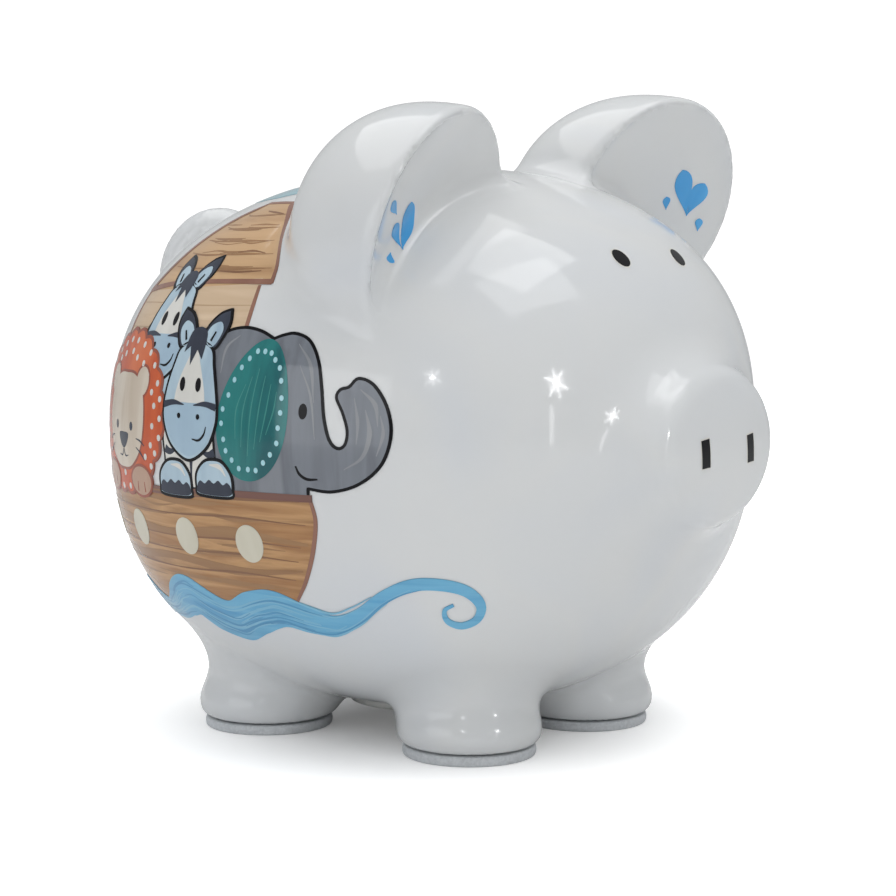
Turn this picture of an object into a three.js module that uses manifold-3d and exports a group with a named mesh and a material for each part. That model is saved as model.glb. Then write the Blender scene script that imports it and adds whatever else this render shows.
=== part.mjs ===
// A glazed ceramic piggy bank: the pieces it is cast and luted from, its foot pads and its rubber plug.
// Millimetres, +Z up. The nose points to -Y and the pig's right side is -X. The pads stand on z = 0.
import * as THREE from 'three';
import { mergeVertices } from 'three/addons/utils/BufferGeometryUtils.js';
import Module from 'manifold-3d';

const wasm = await Module();
wasm.setup();

// ---------- driving dimensions ----------
const GAP = 0.3; // left between any two pieces that touch
const WALL = 4.5; // thickness of the cast shell

const BODY = {
  halfWidth: 91.8,
  halfLength: 98.7,
  rise: 79.1, // from the widest level up to the back
  sink: 86.3, // from the widest level down to the belly
  centreY: -3.2,
  centreZ: 94,
  power: 2.31, // 2 would be a true ellipsoid; above 2 the form is fuller
  taper: 0.028, // the head end is this share larger and the rump this share smaller
  rearDrop: 1.9, // how far the axis falls from the middle to the rump
};

const SNOUT = {
  faceY: -112.5,
  dome: 2.5, // how far the face bulges
  rootY: -78, // inside the head
  faceRadius: 28,
  rootRadius: 41,
  edge: 4,
  flatten: 0.75, // height as a share of width
  z: 92.6,
};

const LEG = {
  footRadius: 20.2,
  edge: 2.2, // width of the rounded edge under the foot
  edgeRise: 1.3, // and its height
  bulgeRadius: 21.6,
  bulgeLevel: 5, // above the foot
  neckRadius: 18.4,
  neckLevel: 18, // above the foot
  topRadius: 17.4,
  top: 46, // inside the shell
};
const PAD = { radius: 20, thickness: 3, bevel: 0.5 };
const FRONT_FEET = { x: 29.8, y: -42.1 };
const REAR_FEET = { x: 35.2, y: 33.1 };

const EAR = {
  // middle of the rim, as if both were on the pig's left; the hand-set ears are not quite level
  centre: { right: [54.7, -49.8, 154], left: [56.6, -49.8, 161.4] },
  across: [0.705, 0.103, -0.702], // along the rim, from the crown out and down
  back: [0.184, 0.929, 0.322], // away from the open face
  halfWidth: 35.5,
  halfHeight: 36.6,
  depth: 43,
  power: 2.45, // fullness of the profile behind the rim
  droop: 8.9, // how far the back end sinks below square
  lip: 4.5, // width of the rim round the hollow
  hollow: 7, // depth of the hollow
};

const TAIL = {
  y: 88.5,
  z: 140.5,
  coilRadius: 14.5,
  tubeRadius: 9.5,
  sideways: 14, // how far the curl travels to the pig's left
  turns: 0.95,
  startAngle: -150, // degrees, inside the rump
};

const SLOT = { width: 5, length: 40, y: 18, cut: 60 }; // the cut's height is centred on the top of the back

const BELLY = { holeRadius: 20.3, seatRadius: 25.5, seatZ: 9.6, bossRadius: 27, bossTop: 15.2 };
const UNDER_BELLY = -5; // a height where cuts can start
const IN_CHAMBER = 40; // a height where they can end
const PLUG = {
  flangeRadius: 23,
  flangeThickness: 2.6,
  chamfer: 0.8, // under the flange
  neckRadius: 19,
  ribRadius: 20,
  ribHeight: 1.6,
  crest: 0.3, // half the height of a rib's flat crest
  ribLevels: [1.6, 4.4], // above the flange
  neckTop: 14.5, // above the flange
  lead: 1, // chamfer at the top of the neck
  wall: 2.4,
  tab: { width: 3, length: 18, drop: 2.6, root: 1 }, // the root is inside the flange
};

// ---------- materials ----------
const glaze = new THREE.MeshStandardMaterial({ color: 0xe4e6e9, roughness: 0.12, metalness: 0 });
const padFoam = new THREE.MeshStandardMaterial({ color: 0x9aa5ae, roughness: 0.85, metalness: 0 });
const plugRubber = new THREE.MeshStandardMaterial({ color: 0xd9d7d0, roughness: 0.6, metalness: 0 });

// ---------- geometry to solids and back ----------
function signedVolume(index, position) {
  const [a, b, c] = [new THREE.Vector3(), new THREE.Vector3(), new THREE.Vector3()];
  let sum = 0;
  for (let i = 0; i < index.length; i += 3) {
    a.fromBufferAttribute(position, index[i]);
    b.fromBufferAttribute(position, index[i + 1]);
    c.fromBufferAttribute(position, index[i + 2]);
    sum += a.dot(b.cross(c)) / 6;
  }
  return sum;
}

// A closed geometry as a solid: seams merged, pinched triangles dropped, faces turned outwards.
function solid(geometry) {
  geometry.deleteAttribute('normal');
  geometry.deleteAttribute('uv');
  const merged = mergeVertices(geometry, 1e-3);
  const all = Array.from(merged.index.array);
  const kept = [];
  for (let i = 0; i < all.length; i += 3) {
    const [a, b, c] = all.slice(i, i + 3);
    if (a !== b && b !== c && c !== a) kept.push(a, b, c);
  }
  if (signedVolume(kept, merged.attributes.position) < 0) kept.reverse();
  const mesh = new wasm.Mesh({
    numProp: 3,
    vertProperties: new Float32Array(merged.attributes.position.array),
    triVerts: new Uint32Array(kept),
  });
  return new wasm.Manifold(mesh);
}

function node(name, shape, material) {
  const { vertProperties, triVerts } = shape.getMesh();
  const geometry = new THREE.BufferGeometry();
  geometry.setAttribute('position', new THREE.BufferAttribute(Float32Array.from(vertProperties), 3));
  geometry.setIndex(Array.from(triVerts));
  geometry.computeVertexNormals();
  const mesh = new THREE.Mesh(geometry, material);
  mesh.name = name;
  return mesh;
}

// ---------- shared forms ----------
// A ball with its poles on the Y axis. Powers above 2 fill out its cross-section and its length profile.
function fullBall(crossPower, lengthPower, around, along) {
  const geometry = new THREE.SphereGeometry(1, around, along);
  const position = geometry.attributes.position;
  const point = new THREE.Vector3();
  for (let i = 0; i < position.count; i++) {
    point.fromBufferAttribute(position, i);
    const cross = (Math.abs(point.x) ** crossPower + Math.abs(point.z) ** crossPower) ** (1 / crossPower);
    const size = (cross ** lengthPower + Math.abs(point.y) ** lengthPower) ** (1 / lengthPower);
    position.setXYZ(i, point.x / size, point.y / size, point.z / size);
  }
  return geometry;
}

// The body's rounded form, grown outwards by `grow`, with its poles at the nose and the rump.
function bodyForm(grow, around, along) {
  const geometry = fullBall(BODY.power, BODY.power, around, along);
  const position = geometry.attributes.position;
  for (let i = 0; i < position.count; i++) {
    const [x, y, z] = [position.getX(i), position.getY(i), position.getZ(i)];
    const swell = 1 - BODY.taper * y;
    const half = z > 0 ? BODY.rise : BODY.sink;
    position.setXYZ(
      i,
      x * swell * (BODY.halfWidth + grow),
      BODY.centreY + y * (BODY.halfLength + grow),
      BODY.centreZ - BODY.rearDrop * y + z * swell * (half + grow),
    );
  }
  return solid(geometry);
}

// A profile of [radius, height] points turned about the vertical.
function turned(points, segments) {
  const profile = points.map(([radius, height]) => new THREE.Vector2(radius, height));
  return solid(new THREE.LatheGeometry(profile, segments).rotateX(Math.PI / 2));
}

function cylinder(radius, low, high, segments) {
  return turned([[0, low], [radius, low], [radius, high], [0, high]], segments);
}

function box(width, length, height, centre) {
  return solid(new THREE.BoxGeometry(width, length, height).translate(...centre));
}

// Points on a quarter circle that rounds a corner, from angle `from` to angle `to` in degrees.
function roundedCorner(centreRadius, centreHeight, radius, from, to, steps = 3) {
  return Array.from({ length: steps + 1 }, (_, i) => {
    const angle = THREE.MathUtils.degToRad(from + ((to - from) * i) / steps);
    return [centreRadius + radius * Math.cos(angle), centreHeight + radius * Math.sin(angle)];
  });
}

// ---------- the cast pieces ----------
function bodyShell() {
  const boss = cylinder(BELLY.bossRadius, 0, BELLY.bossTop, 40);
  const cavity = bodyForm(-WALL, 30, 22).subtract(boss);
  const slot = box(SLOT.width, SLOT.length, SLOT.cut, [0, SLOT.y, BODY.centreZ + BODY.rise]);
  const hole = cylinder(BELLY.holeRadius, UNDER_BELLY, IN_CHAMBER, 48);
  const seat = cylinder(BELLY.seatRadius, UNDER_BELLY, BELLY.seatZ, 48);
  return bodyForm(0, 42, 30).subtract(cavity).subtract(slot).subtract(hole).subtract(seat);
}

function snout(clearBody) {
  const { dome, faceRadius, rootRadius, edge, flatten } = SNOUT;
  const reach = SNOUT.rootY - SNOUT.faceY;
  const faceLevel = (radius) => reach - dome * (radius / faceRadius) ** 2;
  const points = [[0, 0], [rootRadius, 0]];
  points.push(...roundedCorner(faceRadius - edge, faceLevel(faceRadius - edge) - edge, edge, 15, 75));
  points.push([faceRadius / 2, faceLevel(faceRadius / 2)], [0, reach]);
  const profile = points.map(([radius, height]) => new THREE.Vector2(radius, height));
  const geometry = new THREE.LatheGeometry(profile, 36).scale(1, 1, flatten);
  geometry.rotateX(Math.PI).translate(0, SNOUT.rootY, SNOUT.z);
  return solid(geometry).subtract(clearBody);
}

function leg(foot, side, clearBody) {
  const base = PAD.thickness + GAP;
  const outline = new THREE.CatmullRomCurve3([
    new THREE.Vector3(LEG.footRadius, base + LEG.edgeRise, 0),
    new THREE.Vector3(LEG.bulgeRadius, base + LEG.bulgeLevel, 0),
    new THREE.Vector3(LEG.neckRadius, base + LEG.neckLevel, 0),
    new THREE.Vector3(LEG.topRadius, LEG.top, 0),
  ]);
  const flank = outline.getPoints(7).map((point) => [point.x, point.y]);
  const points = [[0, base], [LEG.footRadius - LEG.edge, base], ...flank, [0, LEG.top]];
  return turned(points, 30).translate(side * foot.x, foot.y, 0).subtract(clearBody);
}

function pad(foot, side) {
  const { radius, thickness, bevel } = PAD;
  const points = [[0, 0], [radius - bevel, 0], [radius, bevel]];
  points.push([radius, thickness - bevel], [radius - bevel, thickness], [0, thickness]);
  return turned(points, 32).translate(side * foot.x, foot.y, 0);
}

// Half of a filled-out ball behind the rim, with a shallow hollow in its open face.
function ear(hand, side, clearBody) {
  const across = new THREE.Vector3(...EAR.across).normalize();
  const back = new THREE.Vector3(...EAR.back);
  back.addScaledVector(across, -back.dot(across)).normalize();
  const up = new THREE.Vector3().crossVectors(across, back);
  const placing = new THREE.Matrix4().makeBasis(across, back, up).setPosition(...EAR.centre[hand]);
  const mirror = new THREE.Matrix4().makeScale(side, 1, 1);
  const placed = (geometry) => solid(geometry.applyMatrix4(placing).applyMatrix4(mirror));

  const { halfWidth, halfHeight, depth, power, droop, lip, hollow } = EAR;
  const droopShear = new THREE.Matrix4().makeShear(0, 0, 0, -droop / depth, 0, 0);
  const ball = fullBall(2, power, 26, 20).scale(halfWidth, depth, halfHeight).applyMatrix4(droopShear);
  const front = new THREE.BoxGeometry(2 * depth, 2 * depth, 2 * depth).translate(0, -depth, 0);
  const scoop = new THREE.SphereGeometry(1, 24, 14).scale(halfWidth - lip, hollow, halfHeight - lip);
  return placed(ball).subtract(placed(front)).subtract(placed(scoop)).subtract(clearBody);
}

function tail(clearBody) {
  const points = Array.from({ length: 13 }, (_, i) => {
    const share = i / 12;
    const angle = THREE.MathUtils.degToRad(TAIL.startAngle) + share * TAIL.turns * 2 * Math.PI;
    return new THREE.Vector3(
      TAIL.sideways * (share - 0.5),
      TAIL.y + TAIL.coilRadius * Math.cos(angle),
      TAIL.z + TAIL.coilRadius * Math.sin(angle),
    );
  });
  const round = new THREE.Shape().absarc(0, 0, TAIL.tubeRadius, 0, 2 * Math.PI);
  const path = new THREE.CatmullRomCurve3(points);
  const geometry = new THREE.ExtrudeGeometry(round, { steps: 20, curveSegments: 6, extrudePath: path });
  return solid(geometry).subtract(clearBody);
}

// ---------- the rubber plug ----------
function plug() {
  const { flangeRadius, flangeThickness, chamfer, neckRadius, neckTop, lead, wall, tab } = PLUG;
  const { ribRadius, ribHeight, crest, ribLevels } = PLUG;
  const top = BELLY.seatZ - GAP;
  const bottom = top - flangeThickness;
  const points = [[0, bottom], [flangeRadius - chamfer, bottom], [flangeRadius, bottom + chamfer]];
  points.push([flangeRadius, top], [neckRadius, top]);
  for (const level of ribLevels) {
    const middle = top + level + ribHeight / 2;
    points.push([neckRadius, top + level], [ribRadius, middle - crest], [ribRadius, middle + crest]);
    points.push([neckRadius, top + level + ribHeight]);
  }
  points.push([neckRadius, top + neckTop - lead], [neckRadius - lead, top + neckTop]);
  points.push([neckRadius - wall, top + neckTop], [neckRadius - wall, top + wall], [0, top + wall]);
  const grip = box(tab.width, tab.length, tab.drop + tab.root, [0, 0, bottom + (tab.root - tab.drop) / 2]);
  return turned(points, 36).add(grip);
}

// ---------- assembly ----------
const part = new THREE.Group();
part.name = 'piggy_bank';
const clearBody = bodyForm(GAP, 42, 30);
part.add(node('body_shell', bodyShell(), glaze));
part.add(node('snout', snout(clearBody), glaze));
for (const [hand, side] of [['right', -1], ['left', 1]]) {
  part.add(node(`ear_${hand}`, ear(hand, side, clearBody), glaze));
  for (const [end, foot] of [['front', FRONT_FEET], ['rear', REAR_FEET]]) {
    part.add(node(`leg_${end}_${hand}`, leg(foot, side, clearBody), glaze));
    part.add(node(`foot_pad_${end}_${hand}`, pad(foot, side), padFoam));
  }
}
part.add(node('tail', tail(clearBody), glaze));
part.add(node('stopper', plug(), plugRubber));

export default part;
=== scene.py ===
import math

import bpy
import numpy as np
import openvdb
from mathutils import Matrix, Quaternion, Vector
from mathutils.geometry import delaunay_2d_cdt


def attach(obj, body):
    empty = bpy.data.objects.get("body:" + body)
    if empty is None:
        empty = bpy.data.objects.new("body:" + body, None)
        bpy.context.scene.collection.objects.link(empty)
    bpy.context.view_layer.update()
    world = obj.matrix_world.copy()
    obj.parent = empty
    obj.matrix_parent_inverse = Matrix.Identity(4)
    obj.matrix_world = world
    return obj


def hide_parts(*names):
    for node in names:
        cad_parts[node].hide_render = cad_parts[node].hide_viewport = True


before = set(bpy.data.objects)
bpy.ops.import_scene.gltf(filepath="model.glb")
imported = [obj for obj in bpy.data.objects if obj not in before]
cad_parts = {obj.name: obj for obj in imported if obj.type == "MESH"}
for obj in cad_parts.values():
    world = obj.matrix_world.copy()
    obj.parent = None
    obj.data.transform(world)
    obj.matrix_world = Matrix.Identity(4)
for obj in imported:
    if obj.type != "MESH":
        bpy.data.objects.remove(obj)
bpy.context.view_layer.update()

# Shapes are written in millimetres and turned into metres when a mesh is made.
# The nose points along -Y, the painted right side faces -X, and the pads stand on z = 0.
MM = 0.001

# ----- the ceramic form, with the CAD's dimensions, but a thinner tail and a slightly wider nose -----
BODY = dict(half_width=91.8, half_length=98.7, rise=79.1, sink=86.3, y=-3.2, z=94.0,
            power=2.31, taper=0.028, rear_drop=1.9, wall=4.5)
SNOUT = dict(face_y=-112.3, dome=2.2, root_y=-78.0, face_radius=28.5, root_radius=41.0,
             flatten=0.75, z=92.6, slant=0.85)
LEG = dict(neck=18.4, bulge=3.2, bulge_z=8.0, spread=7.0, bottom=3.3, top=42.0)
FEET = dict(front=(29.8, -42.1), rear=(35.2, 33.1))
RIGHT, LEFT = -1, 1
EAR = dict(centre={RIGHT: (54.7, -49.8, 154.0), LEFT: (56.6, -49.8, 161.4)},
           across=(0.705, 0.103, -0.702), back=(0.184, 0.929, 0.322),
           half_width=35.5, half_height=36.6, depth=43.0, power=2.45, droop=8.9,
           lip=2.0, hollow=6.0, dish_power=0.75, slant=0.9)
TAIL = dict(y=88.5, z=140.5, coil=14.5, root=8.8, tip=6.5, sideways=14.0, turns=0.95, start=-150)
SLOT = dict(y=18.0, half_length=20.0, half_width=2.5, from_z=124.0)
BELLY = dict(hole=20.3, hole_top=40.0, seat=25.5, seat_z=9.6, boss=27.0, boss_top=15.2)
PAD = dict(radius=20.0, thickness=3.0, waist_z=1.6, bottom_in=0.3, top_in=0.4, edge=0.8)
PLUG = dict(flange=23.0, bottom=6.7, top=9.3, chamfer=0.8, neck=19.0, rib=20.0, rib_height=1.6,
            rib_levels=(1.6, 4.4), height=14.5, wall=2.4, lead=1.0, edge=0.5,
            tab=(3.0, 18.0), tab_z=(4.1, 7.7), tab_edge=0.8)
# How softly the clay runs from one part into the next, and round its edges.
BLEND = dict(snout=11.0, ear=7.0, leg=9.0, tail=5.0, snout_edge=4.0, leg_edge=3.0, ear_rim=3.0,
             boss=3.0, wall=1.0, slot=2.2, hole=2.0)
SKIN = dict(cell=1.6, low=(-97.0, -118.0, -2.0), high=(97.0, 118.0, 201.0), band=3, passes=3, pull=0.6)


def smooth_min(a, b, width):
    share = np.clip(0.5 + 0.5 * (b - a) / width, 0, 1)
    return b * (1 - share) + a * share - width * share * (1 - share)


def smooth_max(a, b, width):
    return -smooth_min(-a, -b, width)


def full_ball(local, semi, cross, length):
    """Distance to a ball with its poles on Y. Powers above 2 fill out its section and its profile."""
    tiny = 1e-9
    x, y, z = (np.abs(local[i]) / semi[i] + tiny for i in range(3))
    section = (x**cross + z**cross) ** (1 / cross)
    size = (section**length + y**length) ** (1 / length)
    lean = (section / size) ** (length - 1)
    slope_x = lean * (x / section) ** (cross - 1) / semi[0]
    slope_y = (y / size) ** (length - 1) / semi[1]
    slope_z = lean * (z / section) ** (cross - 1) / semi[2]
    return (size - 1) / np.sqrt(slope_x**2 + slope_y**2 + slope_z**2)


def body_distance(p, grow=0.0):
    along = (p[1] - BODY["y"]) / (BODY["half_length"] + grow)
    swell = 1 - BODY["taper"] * np.clip(along, -1.2, 1.2)
    height = p[2] - BODY["z"] + BODY["rear_drop"] * along
    half = np.where(height > 0, BODY["rise"], BODY["sink"]) + grow
    semi = ((BODY["half_width"] + grow) * swell, BODY["half_length"] + grow, half * swell)
    return full_ball((p[0], p[1] - BODY["y"], height), semi, BODY["power"], BODY["power"])


def snout_distance(p):
    radius = np.hypot(p[0], (p[2] - SNOUT["z"]) / SNOUT["flatten"])
    share = (p[1] - SNOUT["face_y"]) / (SNOUT["root_y"] - SNOUT["face_y"])
    limit = SNOUT["face_radius"] + (SNOUT["root_radius"] - SNOUT["face_radius"]) * share
    side = (radius - limit) * SNOUT["slant"]
    cap = SNOUT["face_y"] + SNOUT["dome"] * (radius / SNOUT["face_radius"]) ** 2 - p[1]
    return np.maximum(smooth_max(side, cap, BLEND["snout_edge"]), p[1] - SNOUT["root_y"])


def leg_distance(p, x, y):
    radius = np.hypot(p[0] - x, p[1] - y)
    bulge = LEG["bulge"] * np.exp(-(((p[2] - LEG["bulge_z"]) / LEG["spread"]) ** 2))
    side = radius - LEG["neck"] - bulge
    return np.maximum(smooth_max(side, LEG["bottom"] - p[2], BLEND["leg_edge"]), p[2] - LEG["top"])


def ear_axes(side):
    """The ear's own axes and origin: across the rim, towards its back, and up the face."""
    across = Vector(EAR["across"]).normalized()
    back = Vector(EAR["back"])
    back = (back - across * back.dot(across)).normalized()
    up = across.cross(back)
    flip = np.array([side, 1, 1])
    axes = np.array([across, back, up]) * flip
    origin = np.array(EAR["centre"][side]) * flip
    return axes, origin


def ear_distance(p, side):
    axes, origin = ear_axes(side)
    moved = [p[i] - origin[i] for i in range(3)]
    across, back, up = (sum(axis[i] * moved[i] for i in range(3)) for axis in axes)
    raised = up + EAR["droop"] / EAR["depth"] * back
    semi = (EAR["half_width"], EAR["depth"], EAR["half_height"])
    ball = full_ball((across, back, raised), semi, 2.0, EAR["power"])
    inner = ((across / (semi[0] - EAR["lip"])) ** 2 + (up / (semi[2] - EAR["lip"])) ** 2).clip(0, 1)
    dish = EAR["hollow"] * (1 - inner) ** EAR["dish_power"]
    return smooth_max(ball, (dish - back) * EAR["slant"], BLEND["ear_rim"])


def tail_path(count=40):
    """Centres and radii of the balls that make up the curl."""
    share = np.linspace(0, 1, count)
    angle = np.radians(TAIL["start"]) + share * TAIL["turns"] * 2 * np.pi
    x = TAIL["sideways"] * (share - 0.5)
    y = TAIL["y"] + TAIL["coil"] * np.cos(angle)
    z = TAIL["z"] + TAIL["coil"] * np.sin(angle)
    radius = TAIL["root"] + (TAIL["tip"] - TAIL["root"]) * share
    return np.stack([x, y, z, radius], 1)


def tail_distance(p):
    nearest = np.full(np.broadcast(p[0], p[1], p[2]).shape, 1e3)
    for x, y, z, radius in tail_path():
        ball = np.sqrt((p[0] - x) ** 2 + (p[1] - y) ** 2 + (p[2] - z) ** 2) - radius
        nearest = np.minimum(nearest, ball)
    return nearest


def slot_distance(p):
    past = np.maximum(np.abs(p[1] - SLOT["y"]) - SLOT["half_length"] + SLOT["half_width"], 0)
    plan = np.hypot(p[0], past) - SLOT["half_width"]
    return np.maximum(plan, SLOT["from_z"] - p[2])


def outside_distance(p):
    """The pig's outer form, with nothing cut out of it."""
    d = smooth_min(body_distance(p), snout_distance(p), BLEND["snout"])
    for side in (RIGHT, LEFT):
        d = smooth_min(d, ear_distance(p, side), BLEND["ear"])
        for x, y in FEET.values():
            d = smooth_min(d, leg_distance(p, side * x, y), BLEND["leg"])
    return smooth_min(d, tail_distance(p), BLEND["tail"])


def ceramic_distance(p):
    """The whole hollow pig, with its slot and its belly hole."""
    axis = np.hypot(p[0], p[1])
    boss = np.maximum(axis - BELLY["boss"], p[2] - BELLY["boss_top"])
    cavity = smooth_max(body_distance(p, -BODY["wall"]), -boss, BLEND["boss"])
    d = smooth_max(outside_distance(p), -cavity, BLEND["wall"])
    d = smooth_max(d, -slot_distance(p), BLEND["slot"])
    hole = np.maximum(axis - BELLY["hole"], p[2] - BELLY["hole_top"])
    seat = np.maximum(axis - BELLY["seat"], p[2] - BELLY["seat_z"])
    return smooth_max(d, -smooth_min(hole, seat, BLEND["hole"]), BLEND["hole"])


def slopes(distance, points, step=0.05):
    """The outward direction at each point, from how the distance changes round it."""
    out = np.empty_like(points)
    for axis in range(3):
        ahead, behind = points.copy(), points.copy()
        ahead[:, axis] += step
        behind[:, axis] -= step
        out[:, axis] = distance(ahead.T) - distance(behind.T)
    return out / np.maximum(np.linalg.norm(out, axis=1), 1e-12)[:, None]


# ----- meshes -----
def make_piece(name, points, faces, material, body="bank", normals=None):
    """A shown piece from points in millimetres, riding on a CAD body."""
    mesh = bpy.data.meshes.new(name)
    mesh.from_pydata((np.asarray(points) * MM).tolist(), [], [tuple(map(int, f)) for f in faces])
    mesh.update()
    mesh.shade_smooth()
    if normals is not None:
        mesh.normals_split_custom_set_from_vertices(normals.tolist())
    piece = bpy.data.objects.new(name, mesh)
    bpy.context.scene.collection.objects.link(piece)
    mesh.materials.append(material)
    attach(piece, body)
    return piece


def ceramic_skin(material):
    """The hollow ceramic: a grid's surface, then pulled onto the exact form."""
    cell, low, high = SKIN["cell"], np.array(SKIN["low"]), np.array(SKIN["high"])
    band = SKIN["band"] * cell
    count = np.ceil((high - low) / cell).astype(int)
    x, y, z = (low[i] + cell * np.arange(count[i]) for i in range(3))
    d = ceramic_distance((x[:, None, None], y[None, :, None], z[None, None, :]))
    grid = openvdb.FloatGrid(band)
    grid.copyFromArray(np.clip(d, -band, band).astype(np.float32))
    points, quads = grid.convertToQuads(0.0)
    points = points.astype(float) * cell + low
    for _ in range(SKIN["passes"]):
        outward = slopes(ceramic_distance, points)
        miss = np.clip(ceramic_distance(points.T), -SKIN["pull"], SKIN["pull"])
        points -= outward * miss[:, None]
    a, b, c = (points[quads[:, i]] for i in range(3))
    facing = (np.cross(b - a, c - a) * outward[quads[:, 0]]).sum()
    if facing < 0:
        quads = quads[:, ::-1]
    return make_piece("ceramic_skin", points, quads, material, normals=outward)


def rounded(profile, radius, steps=4):
    """A turned profile with its inner corners rounded."""
    points = [np.array(profile[0], float)]
    for before, corner, after in zip(profile[:-2], profile[1:-1], profile[2:]):
        before, corner, after = (np.array(p, float) for p in (before, corner, after))
        arriving, leaving = np.linalg.norm(before - corner), np.linalg.norm(after - corner)
        reach = min(radius, 0.45 * arriving, 0.45 * leaving)
        start = corner + (before - corner) / arriving * reach
        end = corner + (after - corner) / leaving * reach
        for share in np.linspace(0, 1, steps):
            points.append((1 - share) ** 2 * start + 2 * share * (1 - share) * corner + share**2 * end)
    points.append(np.array(profile[-1], float))
    return points


def turned(name, profile, centre, material, body="bank", around=96):
    """A closed solid turned about a vertical line. The profile starts and ends on the line."""
    angles = np.arange(around) * 2 * np.pi / around
    points, faces = [(*centre, profile[0][1])], []
    for radius, z in profile[1:-1]:
        points += [(centre[0] + radius * np.cos(a), centre[1] + radius * np.sin(a), z) for a in angles]
    points.append((*centre, profile[-1][1]))
    rings = len(profile) - 2
    for i in range(around):
        j = (i + 1) % around
        faces.append((0, 1 + j, 1 + i))
        for ring in range(rings - 1):
            low, high = 1 + ring * around, 1 + (ring + 1) * around
            faces.append((low + i, low + j, high + j, high + i))
        last = 1 + (rings - 1) * around
        faces.append((last + i, last + j, len(points) - 1))
    return make_piece(name, points, faces, material, body)


# ----- flat outlines, in millimetres -----
def smooth_line(points, closed=True, step=0.8):
    """A smooth curve through the points. A point written twice makes a corner."""
    p = np.array(points, float)
    if closed:
        ring = np.vstack([p[-1:], p, p[:2]])
    else:
        ring = np.vstack([2 * p[:1] - p[1:2], p, 2 * p[-1:] - p[-2:-1]])
    pieces = []
    for a, b, c, d in zip(ring[:-3], ring[1:-2], ring[2:-1], ring[3:]):
        gap = np.linalg.norm(c - b)
        if gap < 1e-6:
            continue
        count = int(gap / step) + 1
        t = np.arange(count)[:, None] / count
        bend, twist = 2 * a - 5 * b + 4 * c - d, 3 * b - a - 3 * c + d
        pieces.append(b + (c - a) * t / 2 + bend * t**2 / 2 + twist * t**3 / 2)
    if not closed:
        pieces.append(p[-1:])
    return np.vstack(pieces)


def oval(u, z, half_width, half_height, lean=0.0):
    """An oval, turned by `lean` degrees."""
    count = max(14, int(5 * (half_width + half_height)))
    t = np.arange(count) * 2 * np.pi / count
    x, y = half_width * np.cos(t), half_height * np.sin(t)
    lean = math.radians(lean)
    across = u + x * math.cos(lean) - y * math.sin(lean)
    height = z + x * math.sin(lean) + y * math.cos(lean)
    return np.stack([across, height], 1)


def egg(u, z, half_width, half_height, narrow, lean, size=1.0, count=80):
    """An oval that narrows and leans towards its top."""
    t = np.arange(count) * 2 * np.pi / count
    x = half_width * size * np.sin(t) * (1 - narrow * np.cos(t)) + lean * (1 + size * np.cos(t)) ** 2 / 4
    return np.stack([u + x, z + half_height * size * np.cos(t)], 1)


def stroke(points, widths, step=0.8):
    """A brush stroke along a smooth path, as wide as the widths spread evenly along it."""
    line = smooth_line(points, closed=False, step=step)
    along = np.gradient(line, axis=0)
    across = np.stack([-along[:, 1], along[:, 0]], 1) / np.linalg.norm(along, axis=1)[:, None]
    share = np.linspace(0, 1, len(line))
    half = np.interp(share, np.linspace(0, 1, len(widths)), widths)[:, None] / 2
    return np.vstack([line + across * half, (line - across * half)[::-1]])


def grown(outline, by):
    """The same outline moved outwards."""
    along = np.roll(outline, -1, 0) - np.roll(outline, 1, 0)
    length = np.maximum(np.linalg.norm(along, axis=1), 1e-9)
    across = np.stack([along[:, 1], -along[:, 0]], 1) / length[:, None]
    after = np.roll(outline, -1, 0)
    area = (outline[:, 0] * after[:, 1] - after[:, 0] * outline[:, 1]).sum()
    return outline + across * by * math.copysign(1, area)


def mirrored(points, middle):
    return [(2 * middle - u, z) for u, z in points]


def shifted(points, du, dz):
    return [(u + du, z + dz) for u, z in points]


# ----- painting on the form -----
FIRST, LIFT, SUNK = 0.08, 0.03, 0.2  # height of the bare paint, of each coat, and depth of its roots
FLANK_RADIUS = 92.0  # turns a distance round the flank into an angle
AWAY = dict(flank=140, front=-130.0, back=190.0)  # where the rays start: out from the axis, y, and z
RAY_STEPS, STRIDE = 45, 0.85  # steps along a ray, each this share of the distance to the form


def land(origins, directions):
    """Where rays first meet the outer form, and which way it faces there."""
    travelled = np.zeros(len(origins))
    for _ in range(RAY_STEPS):
        travelled += STRIDE * outside_distance((origins + directions * travelled[:, None]).T)
    spots = origins + directions * travelled[:, None]
    return spots, slopes(outside_distance, spots)


def on_flank(flat):
    """Millimetres towards the tail from the middle of the right side, and height."""
    angle = flat[:, 0] / FLANK_RADIUS
    outward = np.stack([-np.cos(angle), np.sin(angle), 0 * angle], 1)
    axis = np.stack([0 * angle, 0 * angle + BODY["y"], flat[:, 1]], 1)
    return land(axis + outward * AWAY["flank"], -outward)


def on_front(flat):
    """Millimetres to the pig's left, and height, seen from in front of the nose."""
    start = np.stack([flat[:, 0], np.full(len(flat), AWAY["front"]), flat[:, 1]], 1)
    return land(start, np.tile([0.0, 1.0, 0.0], (len(flat), 1)))


def on_back(flat):
    """Millimetres to the pig's left and towards the tail, seen from above."""
    start = np.stack([flat[:, 0], flat[:, 1], np.full(len(flat), AWAY["back"])], 1)
    return land(start, np.tile([0.0, 0.0, -1.0], (len(flat), 1)))


def in_ear(side):
    """Millimetres across the ear's face and up it, from the middle of its rim."""
    axes, origin = ear_axes(side)

    def place(flat):
        start = origin + flat[:, :1] * axes[0] + flat[:, 1:] * axes[2]
        return land(start, np.tile(axes[1], (len(flat), 1)))

    return place


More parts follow.
